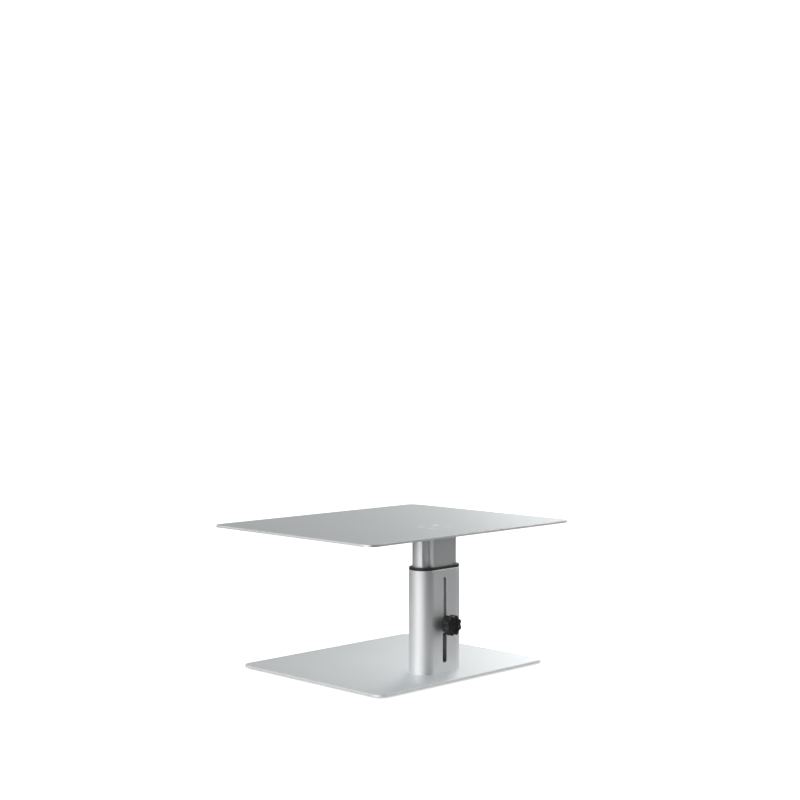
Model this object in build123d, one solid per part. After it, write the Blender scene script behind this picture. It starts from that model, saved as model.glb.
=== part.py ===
from build123d import *
import math
import os

# Height-adjustable monitor riser stand.
# Millimetres, +X is the user's right, -Y faces the user and +Z is up.
# The origin is on the desk, under the middle of the base and of the shelf.

# Plates
TOP_WIDTH = 302.0
TOP_DEPTH = 240.0
BASE_WIDTH = 249.0
BASE_DEPTH = 211.0
PLATE_THICKNESS = 2.5
PLATE_CORNER_RADIUS = 11.0
PLATE_EDGE_RADIUS = 0.4
SHELF_RISE = 149.7  # base's upper face to the shelf's upper face, as stored

# Feet
FOOT_RADIUS = 7.0
FOOT_THICKNESS = 1.5
FOOT_EDGE_RADIUS = 0.4
FOOT_INSET = 19.0  # foot's centre from the base's edges

# Column: an oval sleeve that the inner column slides in
COLUMN_SETBACK = 46.0  # column's axis from the base's back edge
SLEEVE_WIDTH = 62.5
SLEEVE_DEPTH = 30.6
SLEEVE_WALL = 2.0
SLEEVE_HEIGHT = 107.4
SLEEVE_EDGE_RADIUS = 0.7
SLOT_WIDTH = 6.0
SLOT_BOTTOM = 10.0  # above the base's upper face
SLOT_TOP = 98.9
SLOT_EDGE_CHAMFER = 0.3
COLLAR_HEIGHT = 2.7
COLLAR_EDGE_RADIUS = 0.7
SKIRT_LENGTH = 6.0
SKIRT_FIT = 0.05

# Inner column: an oval tube, cut down beside a flat panel on its front and on its back
INNER_WIDTH = 55.4
INNER_DEPTH = 24.8
INNER_WALL = 2.0
PANEL_WIDTH = 31.2
WING_DEPTH = 14.6  # across the lower flats beside the panels
PANEL_EDGE_CHAMFER = 1.5
WING_EDGE_RADIUS = 0.4
INNER_BOTTOM = 40.0  # above the base's upper face
RUNNING_CLEARANCE = 0.3

# Guide at the inner column's lower end
GUIDE_FLANGE = 3.0
GUIDE_PLUG_LENGTH = 8.0
GUIDE_PLUG_START = 14.0  # its two plugs lie further than this from the middle
GUIDE_PLUG_FIT = 0.1

# Screws, and the ports that they cut their threads in
BASE_SCREW_RADIUS = 1.75
BASE_SCREW_HEAD_RADIUS = 3.4
BASE_SCREW_LENGTH = 14.0
SLEEVE_PORT_X = 19.5
SLEEVE_PORT_Y = 12.6
SLEEVE_PORT_RADIUS = 2.4
SLEEVE_PORT_BORE = 1.45
TOP_SCREW_RADIUS = 2.0
TOP_SCREW_HEAD_RADIUS = 4.0
TOP_SCREW_LENGTH = 14.0
GUIDE_SCREW_RADIUS = 2.0
GUIDE_SCREW_HEAD_RADIUS = 3.6
GUIDE_SCREW_LENGTH = 12.0
COLUMN_PORT_X = 11.4
COLUMN_PORT_Y = 8.5
COLUMN_PORT_RADIUS = 2.9
COLUMN_PORT_BORE = 1.65
SCREW_CLEARANCE = 0.15  # between a screw and the plate that it passes through
THREAD_FIT = 0.02  # between a screw's core and its port
HEX_SOCKET_WIDTH = 2.5
SOCKET_DEPTH = 1.3
SCREW_POINT = 0.5

# Clamp: knob, bolt, washers, pad and nut
KNOB_HEIGHT = 50.0  # clamp's axis above the base's upper face
KNOB_LOBES = 8
KNOB_FIRST_LOBE = 24.0  # degrees
KNOB_RADIUS = 10.8
KNOB_WAIST_RADIUS = 9.2
LOBE_RADIUS = 2.5
KNOB_THICKNESS = 9.4
KNOB_GAP = 4.8  # sleeve's back face to the knob's near face
KNOB_EDGE_RADIUS = 1.0
NECK_RADIUS = 5.4
DISH_RADIUS = 7.2
DISH_DEPTH = 1.2
CAP_RADIUS = 5.2
CAP_THICKNESS = 1.4
CAP_EDGE_RADIUS = 0.4
CAP_FIT = 0.03
BOLT_RADIUS = 2.5
BOLT_LENGTH = 20.0
BOLT_HEAD_WIDTH = 8.0  # across flats
BOLT_HEAD_HEIGHT = 3.5
BOLT_FIT = 0.03
BOLT_HOLE_CLEARANCE = 0.15  # between the bolt and the inner column
NUT_WIDTH = 8.0
NUT_THICKNESS = 4.0
NUT_BORE_CLEARANCE = 0.05
WASHER_THICKNESS = 0.8
STEEL_WASHER_RADIUS = 5.0
NYLON_WASHER_RADIUS = 6.0
WASHER_CLEARANCE = 0.15
CLAMP_CLEARANCE = 0.1
PAD_WIDTH = 12.0
PAD_THICKNESS = 0.6
PAD_BELOW = 8.5  # pad's lower end below the clamp's axis
PAD_ABOVE = 5.5
PAD_HOLE_RADIUS = 2.8
HOLDER_WIDTH = 13.0
HOLDER_HEIGHT = 17.0
HOLDER_FIT = 0.1
HOLDER_EDGE_RADIUS = 0.4

# Levels and places that follow from them
BASE_TOP = FOOT_THICKNESS + PLATE_THICKNESS
SHELF_TOP = BASE_TOP + SHELF_RISE
SHELF_UNDERSIDE = SHELF_TOP - PLATE_THICKNESS
COLUMN_Y = BASE_DEPTH / 2 - COLUMN_SETBACK
SLEEVE_BACK = COLUMN_Y + SLEEVE_DEPTH / 2
COLLAR_BOTTOM = BASE_TOP + SLEEVE_HEIGHT
INNER_END = BASE_TOP + INNER_BOTTOM
PANEL_BACK = COLUMN_Y + INNER_DEPTH / 2
CLAMP_Z = BASE_TOP + KNOB_HEIGHT
KNOB_NEAR = SLEEVE_BACK + KNOB_GAP
KNOB_FAR = KNOB_NEAR + KNOB_THICKNESS
CAP_NEAR = KNOB_FAR - DISH_DEPTH - CAP_THICKNESS
COLUMN_AXIS = Pos(0, COLUMN_Y, 0)


def save(node, shape):
    export_step(shape, f"parts/{node}.step")


def corners(x, y):
    """The four places at plus and minus x and y."""
    return Locations((x, y), (-x, y), (-x, -y), (x, -y))


def facing_back(y):
    """A drawing plane at that depth on the clamp's axis, seen from behind the stand."""
    return Plane(origin=(0, y, CLAMP_Z), x_dir=(-1, 0, 0), z_dir=(0, 1, 0))


def disc(radius, near, far):
    """A round piece on the clamp's axis from one depth to another."""
    return extrude(facing_back(near) * Circle(radius), far - near)


# Screws: the head's face is at the origin and the point is below it


def screw(radius, head_radius, core, length):
    """A countersunk screw with a hexagon socket. Its shank is as thick as the thread's core."""
    cone = head_radius - radius
    shank = Pos(0, 0, -length / 2) * Cylinder(core, length)
    point = shank.edges().sort_by(Axis.Z)[0]
    shank = chamfer(point, SCREW_POINT)
    head = Pos(0, 0, -cone / 2) * Cone(radius, head_radius, cone)
    socket = extrude(RegularPolygon(HEX_SOCKET_WIDTH / 2, 6, major_radius=False), -SOCKET_DEPTH)
    return head + shank - socket


def sunk_hole(radius, head_radius, depth):
    """The countersunk hole that the screw passes through."""
    cone = head_radius - radius
    wide = head_radius + SCREW_CLEARANCE
    narrow = radius + SCREW_CLEARANCE
    through = Pos(0, 0, -depth / 2) * Cylinder(narrow, depth)
    return through + Pos(0, 0, -cone / 2) * Cone(narrow, wide, cone)


def copies(places, shape):
    return Compound(children=[place * shape for place in places])


# Plates and feet


def plate(width, depth, bottom):
    outline = Pos(0, 0, bottom) * RectangleRounded(width, depth, PLATE_CORNER_RADIUS)
    slab = extrude(outline, PLATE_THICKNESS)
    faces = slab.faces().sort_by(Axis.Z)
    rims = faces[0].edges() + faces[-1].edges()
    return fillet(rims, PLATE_EDGE_RADIUS)


def base_plate():
    hole = sunk_hole(BASE_SCREW_RADIUS, BASE_SCREW_HEAD_RADIUS, PLATE_THICKNESS)
    slab = plate(BASE_WIDTH, BASE_DEPTH, FOOT_THICKNESS)
    for place in base_screw_places():
        slab -= place * hole
    return slab


def base_screw_places():
    """The base's screws point up, so each is turned over."""
    face = Pos(0, COLUMN_Y, FOOT_THICKNESS)
    return [face * place * Rot(180, 0, 0) for place in corners(SLEEVE_PORT_X, SLEEVE_PORT_Y)]


def base_screws():
    core = SLEEVE_PORT_BORE - THREAD_FIT
    one = screw(BASE_SCREW_RADIUS, BASE_SCREW_HEAD_RADIUS, core, BASE_SCREW_LENGTH)
    return copies(base_screw_places(), one)


def top_plate():
    hole = sunk_hole(TOP_SCREW_RADIUS, TOP_SCREW_HEAD_RADIUS, PLATE_THICKNESS)
    slab = plate(TOP_WIDTH, TOP_DEPTH, SHELF_UNDERSIDE)
    for place in top_screw_places():
        slab -= place * hole
    return slab


def top_screw_places():
    face = Pos(0, COLUMN_Y, SHELF_TOP)
    return [face * place for place in corners(COLUMN_PORT_X, COLUMN_PORT_Y)]


def top_screws():
    core = COLUMN_PORT_BORE - THREAD_FIT
    one = screw(TOP_SCREW_RADIUS, TOP_SCREW_HEAD_RADIUS, core, TOP_SCREW_LENGTH)
    return copies(top_screw_places(), one)


def foot(x, y):
    pad = extrude(Pos(x, y, 0) * Circle(FOOT_RADIUS), FOOT_THICKNESS)
    return fillet(pad.edges().sort_by(Axis.Z)[0], FOOT_EDGE_RADIUS)


# Sleeve and collar


def sleeve_hollow():
    """The space in the sleeve, without the four screw ports on its walls."""
    hollow = SlotOverall(SLEEVE_WIDTH - 2 * SLEEVE_WALL, SLEEVE_DEPTH - 2 * SLEEVE_WALL)
    return hollow - corners(SLEEVE_PORT_X, SLEEVE_PORT_Y) * Circle(SLEEVE_PORT_RADIUS)


def sleeve():
    section = SlotOverall(SLEEVE_WIDTH, SLEEVE_DEPTH) - sleeve_hollow()
    section -= corners(SLEEVE_PORT_X, SLEEVE_PORT_Y) * Circle(SLEEVE_PORT_BORE)
    tube = COLUMN_AXIS * Pos(0, 0, BASE_TOP) * extrude(section, SLEEVE_HEIGHT)
    tube = fillet(tube.faces().sort_by(Axis.Z)[-1].outer_wire().edges(), SLEEVE_EDGE_RADIUS)
    middle = BASE_TOP + (SLOT_BOTTOM + SLOT_TOP) / 2
    wall = Plane(origin=(0, SLEEVE_BACK - 2 * SLEEVE_WALL, middle), x_dir=(-1, 0, 0), z_dir=(0, 1, 0))
    tube -= extrude(wall * SlotOverall(SLOT_TOP - SLOT_BOTTOM, SLOT_WIDTH, rotation=90), 3 * SLEEVE_WALL)
    slot_rim = tube.faces().sort_by(Axis.Y)[-1].inner_wires()[0].edges()
    return chamfer(slot_rim, SLOT_EDGE_CHAMFER)


def sleeve_collar():
    seat = COLUMN_AXIS * Pos(0, 0, COLLAR_BOTTOM)
    ring = seat * extrude(SlotOverall(SLEEVE_WIDTH, SLEEVE_DEPTH), COLLAR_HEIGHT)
    ring = fillet(ring.edges().group_by(Axis.Z)[-1], COLLAR_EDGE_RADIUS)
    skirt = extrude(offset(sleeve_hollow(), -SKIRT_FIT), -SKIRT_LENGTH)
    opening = extrude(offset(inner_outline(), RUNNING_CLEARANCE), COLLAR_HEIGHT + SKIRT_LENGTH)
    return ring + seat * skirt - seat * Pos(0, 0, -SKIRT_LENGTH) * opening


# Inner column and its guide


def wings(inset=0.0):
    """The inner column's two thinner sides, joined through its middle and set in by that much."""
    oval = SlotOverall(INNER_WIDTH - 2 * inset, INNER_DEPTH - 2 * inset)
    return oval & Rectangle(INNER_WIDTH, WING_DEPTH - 2 * inset)


def inner_outline():
    sides = wings()
    sides = fillet(sides.vertices(), WING_EDGE_RADIUS)
    panels = Rectangle(PANEL_WIDTH, INNER_DEPTH)
    return sides + chamfer(panels.vertices(), PANEL_EDGE_CHAMFER)


def inner_hollow():
    """The space in the inner column, without the four screw ports in its panels' corners."""
    middle = Rectangle(PANEL_WIDTH - 2 * INNER_WALL, INNER_DEPTH - 2 * INNER_WALL)
    ports = corners(COLUMN_PORT_X, COLUMN_PORT_Y) * Circle(COLUMN_PORT_RADIUS)
    return wings(INNER_WALL) + middle - ports


def inner_column():
    section = inner_outline() - inner_hollow()
    section -= corners(COLUMN_PORT_X, COLUMN_PORT_Y) * Circle(COLUMN_PORT_BORE)
    tube = COLUMN_AXIS * Pos(0, 0, INNER_END) * extrude(section, SHELF_UNDERSIDE - INNER_END)
    bolt_hole = BOLT_RADIUS + BOLT_HOLE_CLEARANCE
    return tube - disc(bolt_hole, PANEL_BACK - 2 * INNER_WALL, PANEL_BACK + INNER_WALL)


def guide_screw_places():
    """Two opposite ports, with the screws pointing up."""
    face = Pos(0, COLUMN_Y, INNER_END - GUIDE_FLANGE)
    places = [Pos(side * COLUMN_PORT_X, side * COLUMN_PORT_Y, 0) for side in (1, -1)]
    return [face * place * Rot(180, 0, 0) for place in places]


def guide_screws():
    core = COLUMN_PORT_BORE - THREAD_FIT
    one = screw(GUIDE_SCREW_RADIUS, GUIDE_SCREW_HEAD_RADIUS, core, GUIDE_SCREW_LENGTH)
    return copies(guide_screw_places(), one)


def column_guide():
    flange = extrude(offset(sleeve_hollow(), -RUNNING_CLEARANCE), -GUIDE_FLANGE)
    plug = extrude(wings(INNER_WALL + GUIDE_PLUG_FIT), GUIDE_PLUG_LENGTH)
    plug -= Box(2 * GUIDE_PLUG_START, SLEEVE_DEPTH, 3 * GUIDE_PLUG_LENGTH)
    guide = COLUMN_AXIS * Pos(0, 0, INNER_END) * (flange + plug)
    for place in guide_screw_places():
        guide -= place * sunk_hole(GUIDE_SCREW_RADIUS, GUIDE_SCREW_HEAD_RADIUS, GUIDE_FLANGE)
    return guide


# Clamp


def friction_pad():
    low = CLAMP_Z - PAD_BELOW
    height = PAD_BELOW + PAD_ABOVE
    centre = Pos(0, PANEL_BACK + PAD_THICKNESS / 2, low + height / 2)
    pad = centre * Box(PAD_WIDTH, PAD_THICKNESS, height)
    return pad - disc(PAD_HOLE_RADIUS, PANEL_BACK - PAD_THICKNESS, PANEL_BACK + 2 * PAD_THICKNESS)


def nut_front():
    return PANEL_BACK - INNER_WALL - CLAMP_CLEARANCE - NUT_THICKNESS


def clamp_nut():
    nut = extrude(facing_back(nut_front()) * Rectangle(NUT_WIDTH, NUT_WIDTH), NUT_THICKNESS)
    bore = disc(BOLT_RADIUS + NUT_BORE_CLEARANCE, nut_front(), nut_front() + NUT_THICKNESS)
    return nut - bore


def nut_holder():
    depth = INNER_DEPTH - 2 * INNER_WALL - 2 * HOLDER_FIT
    block = Pos(0, COLUMN_Y, CLAMP_Z) * Box(HOLDER_WIDTH, depth, HOLDER_HEIGHT)
    block = fillet(block.edges().filter_by(Axis.Z), HOLDER_EDGE_RADIUS)
    pocket = Rectangle(NUT_WIDTH + 2 * HOLDER_FIT, NUT_WIDTH + 2 * HOLDER_FIT)
    block -= extrude(facing_back(nut_front() - HOLDER_FIT) * pocket, 2 * NUT_THICKNESS)
    return block - disc(PAD_HOLE_RADIUS, COLUMN_Y - depth, COLUMN_Y + depth)


def washer(radius, near):
    ring = disc(radius, near, near + WASHER_THICKNESS)
    return ring - disc(BOLT_RADIUS + WASHER_CLEARANCE, near, near + WASHER_THICKNESS)


def polar(radius, angle):
    return Vector(radius, 0, 0).rotate(Axis.Z, angle)


def knob_outline():
    """Round lobes with a round scallop between each pair, all tangent to their neighbours."""
    half_pitch = 180 / KNOB_LOBES
    lobe_reach = KNOB_RADIUS - LOBE_RADIUS
    side = lobe_reach * math.sin(math.radians(half_pitch))
    gap = KNOB_WAIST_RADIUS - lobe_reach * math.cos(math.radians(half_pitch))
    scallop_radius = (gap**2 + side**2 - LOBE_RADIUS**2) / (2 * (LOBE_RADIUS - gap))
    scallop_reach = KNOB_WAIST_RADIUS + scallop_radius
    share = LOBE_RADIUS / (LOBE_RADIUS + scallop_radius)
    arcs = []
    for lobe in range(KNOB_LOBES):
        angle = KNOB_FIRST_LOBE + 2 * half_pitch * lobe
        centre = polar(lobe_reach, angle)
        following = polar(lobe_reach, angle + 2 * half_pitch)
        scallop = polar(scallop_reach, angle + half_pitch)
        start = centre + (polar(scallop_reach, angle - half_pitch) - centre) * share
        middle = centre + (scallop - centre) * share
        end = following + (scallop - following) * share
        arcs.append(ThreePointArc(start, polar(KNOB_RADIUS, angle), middle))
        arcs.append(ThreePointArc(middle, polar(KNOB_WAIST_RADIUS, angle + half_pitch), end))
    return make_face(arcs)


def knob_body():
    body = extrude(facing_back(KNOB_NEAR) * knob_outline(), KNOB_THICKNESS)
    rims = body.edges().group_by(Axis.Y)
    body = fillet(rims[0] + rims[-1], KNOB_EDGE_RADIUS)
    neck_start = SLEEVE_BACK + CLAMP_CLEARANCE + 2 * WASHER_THICKNESS + BOLT_FIT
    body += disc(NECK_RADIUS, neck_start, KNOB_NEAR + KNOB_EDGE_RADIUS)
    dish = facing_back(KNOB_FAR - DISH_DEPTH) * Pos(0, 0, DISH_DEPTH / 2)
    body -= dish * Cone(CAP_RADIUS + DISH_DEPTH, DISH_RADIUS, DISH_DEPTH)
    body -= disc(CAP_RADIUS + CAP_FIT, CAP_NEAR, KNOB_FAR)
    pocket = RegularPolygon(BOLT_HEAD_WIDTH / 2 + BOLT_FIT, 6, major_radius=False)
    body -= extrude(facing_back(bolt_head_near()) * pocket, CAP_NEAR - bolt_head_near())
    return body - disc(BOLT_RADIUS + BOLT_FIT, SLEEVE_BACK, KNOB_FAR)


def bolt_head_near():
    return CAP_NEAR - BOLT_FIT - BOLT_HEAD_HEIGHT


def knob_cap():
    cap = disc(CAP_RADIUS, CAP_NEAR, CAP_NEAR + CAP_THICKNESS)
    return fillet(cap.edges().sort_by(Axis.Y)[-1], CAP_EDGE_RADIUS)


def clamp_bolt():
    head = RegularPolygon(BOLT_HEAD_WIDTH / 2, 6, major_radius=False)
    bolt = extrude(facing_back(bolt_head_near()) * head, BOLT_HEAD_HEIGHT)
    shank = disc(BOLT_RADIUS, bolt_head_near() - BOLT_LENGTH, bolt_head_near())
    return bolt + chamfer(shank.edges().sort_by(Axis.Y)[0], SCREW_POINT)


os.makedirs("parts", exist_ok=True)

save("base_plate", base_plate())
save("base_screws", base_screws())
foot_x = BASE_WIDTH / 2 - FOOT_INSET
foot_y = BASE_DEPTH / 2 - FOOT_INSET
for depth_name, y_side in (("front", -1), ("back", 1)):
    for side_name, x_side in (("left", -1), ("right", 1)):
        save(f"foot_{depth_name}_{side_name}", foot(x_side * foot_x, y_side * foot_y))
save("sleeve", sleeve())
save("sleeve_collar", sleeve_collar())
save("inner_column", inner_column())
save("column_guide", column_guide())
save("guide_screws", guide_screws())
save("top_plate", top_plate())
save("top_screws", top_screws())
save("friction_pad", friction_pad())
save("nut_holder", nut_holder())
save("clamp_nut", clamp_nut())
save("nylon_washer", washer(NYLON_WASHER_RADIUS, SLEEVE_BACK + CLAMP_CLEARANCE))
save("steel_washer", washer(STEEL_WASHER_RADIUS, SLEEVE_BACK + CLAMP_CLEARANCE + WASHER_THICKNESS))
save("knob_body", knob_body())
save("knob_cap", knob_cap())
save("clamp_bolt", clamp_bolt())
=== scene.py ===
import math

import bpy
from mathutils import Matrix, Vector

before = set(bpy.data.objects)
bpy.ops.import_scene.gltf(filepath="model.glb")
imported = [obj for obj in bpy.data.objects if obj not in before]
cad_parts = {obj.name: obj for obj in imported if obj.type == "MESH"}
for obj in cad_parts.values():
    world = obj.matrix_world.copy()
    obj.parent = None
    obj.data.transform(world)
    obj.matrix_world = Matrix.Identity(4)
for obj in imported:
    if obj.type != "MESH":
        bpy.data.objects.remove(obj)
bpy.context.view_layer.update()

# A height-adjustable monitor riser stand, seen from behind and from the user's right.
# Lengths are metres in the CAD model's frame: +X is the user's right, -Y faces the user, +Z is up.

MM = 0.001
UP = Vector((0, 0, 1))

# Camera: where it stands, the way it looks and its lens
CAMERA_PLACE = Vector((1.1544, 1.1610, 0.3425))
CAMERA_TURN = math.radians(134.94)
CAMERA_PITCH = math.radians(2.04)
CAMERA_LENS = 69.25
SENSOR_WIDTH = 36.0

# Tints: how much red and how much blue, where green is 1
NEUTRAL = (1.0, 1.0)
SHEET_TINT = (0.965, 1.01)
SHEET_GRAIN_TINT = (0.97, 1.015)
EXTRUSION_TINT = (0.985, 1.01)
ZINC_TINT = (1.02, 0.95)

# Surfaces
SHEET_EDGE = (0.9, 0.99)  # how level a face is where a sheet's edge ends and its flat begins
CUT_END = (0.1, 0.4)  # how level a face is where an extrusion's wall ends and its cut end begins
RUBBED = 0.2  # how much less rough a rubbed edge or a cut end is
DIE_LINE = (1, 1, 0.006)  # a grain drawn out into upright lines
OPENNESS_SAMPLES = 8

# The colour-mixing node's sockets, by number because their names repeat
MIX_SHARE = 0
MIX_FIRST = 6
MIX_SECOND = 7
MIX_RESULT = 2

# Studio
FLOOR_RADIUS = 14.0
FLOOR_CORNERS = 96
BACKDROP_RADIUS = 13.5
BACKDROP_GRID = (48, 24)  # segments around and rings
CONTACT_SHADE = 6 * MM
SHADE_SIDE = (0.75, -0.35, 0.56)  # towards the main light, so a shade lies on the other side
# The surround's brightness at each upward part of a direction, from 0 at the horizon to 1 overhead
SURROUND = ((0.0, 0.04), (0.08, 0.3), (0.45, 0.25), (0.7, 0.1))
STUDIO_MIDDLE = Vector((0, 0.03, 0.08))
STUDIO_RADIUS = 1.8
PANEL_ARC = (30, 33)  # degrees around and up
SOFTBOXES = (  # name, azimuth and elevation in degrees, panels side by side, and how bright they are
    ("key", 90, 17, 1, 3.0),
    ("near_key", 60, 17, 1, 1.7),
    ("far_key", 120, 17, 1, 1.6),
    ("low_key", 75, -17, 2, 0.4),
    ("left", 165, 17, 2, 1.0),
    ("far", 210, 17, 1, 0.4),
    ("back", 255, 17, 2, 1.0),
    ("right", 300, 17, 1, 1.9),
    ("high_right", 315, 40, 1, 0.9),
)
CARD_SIZE = (0.5, 0.7)  # a card far to the user's left, mirrored in the shelf's back left corner
CARD_PLACE = (-1.095, -0.465, 0.35)
CARD_AIM = (-0.32, 0.32, 0.3)
CARD_GLOW = 3.4
BOUNCE_SIZE = (0.66, 0.66)
BOUNCE_DEPTH = 4 * MM
BOUNCES = (  # name, X and Y, and how bright it is
    ("middle", (0, 0), 0.46),
    ("left", (0.212, -0.212), 0.37),
)


# Materials


class Shader:
    """A small helper that adds nodes to one material and links them."""

    def __init__(self, name):
        self.material = bpy.data.materials.new(name)
        self.material.use_nodes = True
        self.nodes = self.material.node_tree.nodes
        self.links = self.material.node_tree.links
        self.surface = self.nodes["Principled BSDF"]
        coordinates = self.nodes.new("ShaderNodeTexCoord")
        self.place = coordinates.outputs["Object"]
        self.facing = coordinates.outputs["Normal"]

    def connect(self, value, socket):
        if isinstance(value, bpy.types.NodeSocket):
            self.links.new(value, socket)
        else:
            socket.default_value = value

    def node(self, kind, inputs=(), **settings):
        made = self.nodes.new(kind)
        for key, value in settings.items():
            setattr(made, key, value)
        for socket, value in dict(inputs).items():
            self.connect(value, made.inputs[socket])
        return made

    def noise(self, size, detail=2.0, roughness=0.5, stretch=(1, 1, 1)):
        """Noise from 0 to 1 whose grains are about that size, in metres."""
        scale = [s / size for s in stretch]
        spot = self.node("ShaderNodeMapping", {"Vector": self.place, "Scale": scale}).outputs["Vector"]
        inputs = {"Vector": spot, "Scale": 1.0, "Detail": detail, "Roughness": roughness}
        return self.node("ShaderNodeTexNoise", inputs).outputs["Fac"]

    def spread(self, value, low, high, start=0.0, end=1.0):
        """A value between start and end mapped on to a range, and held at its ends."""
        inputs = {"Value": value, "From Min": start, "From Max": end, "To Min": low, "To Max": high}
        return self.node("ShaderNodeMapRange", inputs).outputs["Result"]

    def around(self, value, middle, reach):
        """A value between 0 and 1 mapped on to that reach each side of a middle."""
        return self.spread(value, middle - reach, middle + reach)

    def blend(self, share, first, second):
        """A colour between two, each a colour or a socket."""
        inputs = {MIX_SHARE: share, MIX_FIRST: first, MIX_SECOND: second}
        return self.node("ShaderNodeMix", inputs, data_type="RGBA").outputs[MIX_RESULT]

    def math(self, operation, first, second=0.0):
        return self.node("ShaderNodeMath", {0: first, 1: second}, operation=operation).outputs[0]

    def levelness(self):
        """How level the surface is: 0 on a wall, 1 on a face that looks straight up or down."""
        facing = self.node("ShaderNodeSeparateXYZ", {"Vector": self.facing})
        return self.math("ABSOLUTE", facing.outputs["Z"])

    def bump(self, height, distance, strength=1.0, under=None):
        inputs = {"Height": height, "Distance": distance, "Strength": strength}
        if under is not None:
            inputs["Normal"] = under
        return self.node("ShaderNodeBump", inputs).outputs["Normal"]

    def openness(self, distance, **inputs):
        """How little there is in front of the surface within that distance, from 0 to 1."""
        inputs["Distance"] = distance
        return self.node("ShaderNodeAmbientOcclusion", inputs, samples=OPENNESS_SAMPLES).outputs["AO"]

    def set(self, **values):
        """Sets the surface shader's sockets, whose names have underscores here."""
        for name, value in values.items():
            self.connect(value, self.surface.inputs[name.replace("_", " ")])


def tinted(level, tint=NEUTRAL):
    """A nearly neutral colour of that brightness."""
    red, blue = tint
    return (level * red, level, level * blue, 1.0)


def anodised_sheet(name, level):
    """Bead-blasted, silver-anodised sheet: a matt grain, clouded a little, with smoother rubbed edges
    painted lighter, part wear and part painted highlight.
    """
    s = Shader(name)
    clouds = s.noise(60 * MM, detail=3)
    grain = s.noise(0.45 * MM, detail=3, roughness=0.7)
    rubs = s.noise(5 * MM, detail=3)
    edge = s.spread(s.levelness(), 1.0, 0.0, *SHEET_EDGE)
    # The edges are made smoother and painted lighter: partly rubbed wear, partly a painted highlight.
    worn_and_highlit = s.math("MULTIPLY", edge, s.spread(rubs, 0.6, 1.0, start=0.4, end=0.6))
    clear = tinted(level, SHEET_TINT)
    cloudy = tinted(level * 1.06, SHEET_TINT)
    pitted = tinted(level * 0.8, SHEET_GRAIN_TINT)
    rubbed_and_highlit = tinted(0.9)
    tone = s.blend(clouds, clear, cloudy)
    tone = s.blend(s.spread(grain, 0.0, 0.16), tone, pitted)
    tone = s.blend(worn_and_highlit, tone, rubbed_and_highlit)
    matt = s.math("ADD", s.around(clouds, 0.62, 0.03), s.around(grain, 0.0, 0.03))
    rough = s.math("SUBTRACT", matt, s.math("MULTIPLY", worn_and_highlit, RUBBED))
    relief = s.bump(grain, distance=0.008 * MM, strength=0.5)
    s.set(Base_Color=tone, Metallic=1.0, Roughness=rough, Normal=relief)
    return s.material


def anodised_extrusion(name, roughness, painted_shade_reach=0.0):
    """Satin-anodised extrusion: faint upright die lines, a brighter cut end and, if asked, painted shade
    darkening its recesses.
    """
    s = Shader(name)
    lines = s.noise(0.5 * MM, detail=3, roughness=0.6, stretch=DIE_LINE)
    grain = s.noise(0.35 * MM, detail=2, roughness=0.7)
    clouds = s.noise(40 * MM, detail=2)
    cut = s.spread(s.levelness(), 0.0, 1.0, *CUT_END)
    dark_line = tinted(0.80, EXTRUSION_TINT)
    light_line = tinted(0.86, EXTRUSION_TINT)
    pitted = tinted(0.64, EXTRUSION_TINT)
    bright = tinted(0.92)
    # The dark grey that is painted into recesses as painted shade.
    painted_shade = tinted(0.3)
    tone = s.blend(lines, dark_line, light_line)
    tone = s.blend(s.spread(grain, 0.0, 0.12), tone, pitted)
    tone = s.blend(cut, tone, bright)
    # Painted shade: the colour darkens where the surface has something close in front of it, as in
    # recesses.
    if painted_shade_reach:
        unshaded = s.spread(s.openness(painted_shade_reach), 0.0, 1.0, start=0.2, end=0.8)
        tone = s.blend(unshaded, painted_shade, tone)
    satin = s.math("ADD", s.around(clouds, roughness, 0.02), s.around(lines, 0.0, 0.03))
    rough = s.math("SUBTRACT", satin, s.math("MULTIPLY", cut, RUBBED))
    drawn = s.bump(lines, distance=0.004 * MM, strength=0.5)
    relief = s.bump(grain, distance=0.006 * MM, strength=0.5, under=drawn)
    s.set(Base_Color=tone, Metallic=1.0, Roughness=rough, Normal=relief)
    return s.material


def moulded_plastic(name, level, roughness, texture, depth, shine=0.5):
    """Black moulded plastic with a fine spark-eroded texture of that grain and depth."""
    s = Shader(name)
    pits = s.noise(texture, detail=3, roughness=0.6)
    clouds = s.noise(9 * MM, detail=2)
    tone = s.blend(clouds, tinted(level), tinted(level * 1.35))
    gloss = s.math("ADD", s.around(clouds, roughness, 0.04), s.around(pits, 0.0, 0.04))
    relief = s.bump(pits, distance=depth, strength=0.6)
    s.set(Base_Color=tone, Roughness=gloss, Specular_IOR_Level=shine, Normal=relief)
    return s.material


def zinc_steel():
    """Bright zinc plating on steel, a little mottled."""
    s = Shader("zinc_steel")
    mottle = s.noise(1.2 * MM, detail=4, roughness=0.6)
    tone = s.blend(mottle, tinted(0.60), tinted(0.72, ZINC_TINT))
    rough = s.around(mottle, 0.30, 0.08)
    relief = s.bump(mottle, distance=0.01 * MM, strength=0.4)
    s.set(Base_Color=tone, Metallic=1.0, Roughness=rough, Normal=relief)
    return s.material


def foot_rubber():
    """Matt silicone rubber with a fine grain."""
    s = Shader("foot_rubber")
    grain = s.noise(0.3 * MM, detail=3)
    tone = s.blend(grain, tinted(0.03), tinted(0.06))
    rough = s.around(grain, 0.71, 0.09)
    s.set(Base_Color=tone, Roughness=rough, Normal=s.bump(grain, distance=0.03 * MM, strength=0.7))
    return s.material


def paint(material, *names):
    for name in names:
        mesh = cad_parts[name].data
        mesh.materials.clear()
        mesh.materials.append(material)


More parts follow.
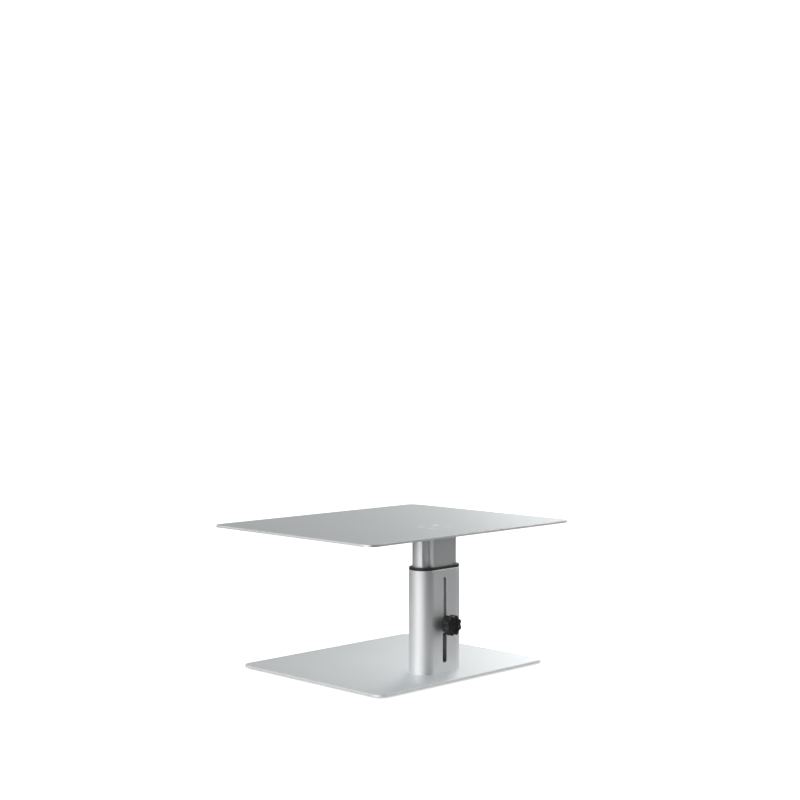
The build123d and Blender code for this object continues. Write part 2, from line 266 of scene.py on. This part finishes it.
feet = [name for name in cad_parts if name.startswith("foot_")]
screws = [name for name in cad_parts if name.endswith("_screws")]
collar_plastic = moulded_plastic(
    "collar_plastic", level=0.010, roughness=0.40, texture=0.25 * MM, depth=0.02 * MM)
knob_plastic = moulded_plastic(
    "knob_plastic", level=0.004, roughness=0.27, texture=0.3 * MM, depth=0.02 * MM, shine=0.42)
guide_plastic = moulded_plastic(
    "guide_plastic", level=0.03, roughness=0.34, texture=0.5 * MM, depth=0.01 * MM)
# The shelf and the base share one sheet finish. The shelf's lower level is painted shade, for the shade
# and dark reflections a monitor on it would give.
paint(anodised_sheet("shelf_sheet_painted_shade", level=0.73), "top_plate")
paint(anodised_sheet("base_sheet", level=0.82), "base_plate")
paint(anodised_extrusion("sleeve_extrusion", roughness=0.47), "sleeve")
# The inner column's colour gets painted shade in its recesses.
paint(anodised_extrusion("inner_extrusion", roughness=0.385, painted_shade_reach=4 * MM), "inner_column")
paint(collar_plastic, "sleeve_collar")
paint(knob_plastic, "knob_body", "knob_cap")
paint(guide_plastic, "column_guide", "friction_pad", "nut_holder", "nylon_washer")
paint(zinc_steel(), "clamp_nut", "clamp_bolt", "steel_washer", *screws)
paint(foot_rubber(), *feet)


# Studio: a pale floor and backdrop, and soft lights


def stage_material(name, level, shaded):
    """Plain paper that glows white. If it is shaded, it glows less close to what stands on it."""
    s = Shader(name)
    glow = 1.0
    if shaded:
        side = s.node("ShaderNodeCombineXYZ", dict(enumerate(SHADE_SIDE))).outputs["Vector"]
        glow = s.openness(CONTACT_SHADE, Normal=side)
    s.set(Base_Color=tinted(level), Roughness=0.9, Emission_Color=tinted(1.0), Emission_Strength=glow)
    return s.material


def floor():
    """A wide pale floor, left out of reflections."""
    bpy.ops.mesh.primitive_circle_add(vertices=FLOOR_CORNERS, radius=FLOOR_RADIUS, fill_type="NGON")
    disc = bpy.context.object
    disc.name = "floor"
    disc.data.materials.append(stage_material("floor_paper", level=0.6, shaded=True))
    disc.visible_glossy = False
    disc.visible_shadow = False


def backdrop():
    """A dome behind everything that only the camera sees."""
    segments, rings = BACKDROP_GRID
    bpy.ops.mesh.primitive_uv_sphere_add(segments=segments, ring_count=rings, radius=BACKDROP_RADIUS)
    dome = bpy.context.object
    dome.name = "backdrop"
    dome.data.materials.append(stage_material("backdrop_paper", level=0.5, shaded=False))
    dome.visible_glossy = False
    dome.visible_diffuse = False
    dome.visible_shadow = False


def studio_world():
    """A dim surround: nearly dark under the horizon, brightest just over it."""
    world = bpy.data.worlds.new("studio")
    world.use_nodes = True
    nodes = world.node_tree.nodes
    links = world.node_tree.links
    toward = nodes.new("ShaderNodeTexCoord")
    height = nodes.new("ShaderNodeSeparateXYZ")
    glow = nodes.new("ShaderNodeValToRGB")
    while len(glow.color_ramp.elements) < len(SURROUND):
        glow.color_ramp.elements.new(1.0)
    for element, (up, level) in zip(glow.color_ramp.elements, SURROUND):
        element.position = up
        element.color = tinted(level)
    links.new(toward.outputs["Generated"], height.inputs[0])
    links.new(height.outputs["Z"], glow.inputs[0])
    links.new(glow.outputs["Color"], nodes["Background"].inputs["Color"])
    nodes["Background"].inputs["Strength"].default_value = 1.0
    bpy.context.scene.world = world


def direction(azimuth, elevation):
    """A unit vector: azimuth 0 degrees is +Y and 90 degrees is +X."""
    turn = math.radians(azimuth)
    rise = math.radians(elevation)
    return Vector((math.sin(turn) * math.cos(rise), math.cos(turn) * math.cos(rise), math.sin(rise)))


def lamp(name, shape, size, glow, place, aim):
    """A soft lamp whose face is as bright as that glow, where 1 is white."""
    data = bpy.data.lights.new(name, "AREA")
    data.shape = shape
    data.size, data.size_y = size
    area = size[0] * size[1] * (1 if shape == "RECTANGLE" else math.pi / 4)
    data.energy = math.pi * area * glow
    made = bpy.data.objects.new(name, data)
    made.location = place
    made.rotation_euler = (Vector(aim) - Vector(place)).to_track_quat("-Z", "Y").to_euler()
    made.visible_camera = False
    bpy.context.scene.collection.objects.link(made)


def softboxes(name, azimuth, elevation, panels, glow):
    """A curved bank of softboxes around the stand, each a panel of PANEL_ARC degrees."""
    size = [2 * STUDIO_RADIUS * math.tan(math.radians(arc / 2)) for arc in PANEL_ARC]
    for panel in range(panels):
        turn = azimuth + PANEL_ARC[0] * (panel - (panels - 1) / 2)
        place = STUDIO_MIDDLE + STUDIO_RADIUS * direction(turn, elevation)
        lamp(f"{name}_softbox_{panel + 1}", "RECTANGLE", size, glow, place, STUDIO_MIDDLE)


def floor_bounce(name, spot, glow):
    """Light that the white floor sends up at the column's lower end."""
    place = Vector((*spot, -BOUNCE_DEPTH))
    lamp(f"floor_bounce_{name}", "DISK", BOUNCE_SIZE, glow, place, place + UP)


floor()
backdrop()
studio_world()
for bank in SOFTBOXES:
    softboxes(*bank)
for bounce in BOUNCES:
    floor_bounce(*bounce)
lamp("reflector_card", "RECTANGLE", CARD_SIZE, CARD_GLOW, CARD_PLACE, CARD_AIM)

bpy.context.scene.view_settings.view_transform = "Standard"

camera_data = bpy.data.cameras.new("camera")
camera_data.lens = CAMERA_LENS
camera_data.sensor_width = SENSOR_WIDTH
camera = bpy.data.objects.new("camera", camera_data)
camera.location = CAMERA_PLACE
camera.rotation_euler = (math.pi / 2 - CAMERA_PITCH, 0, CAMERA_TURN)
bpy.context.scene.collection.objects.link(camera)
bpy.context.scene.camera = camera
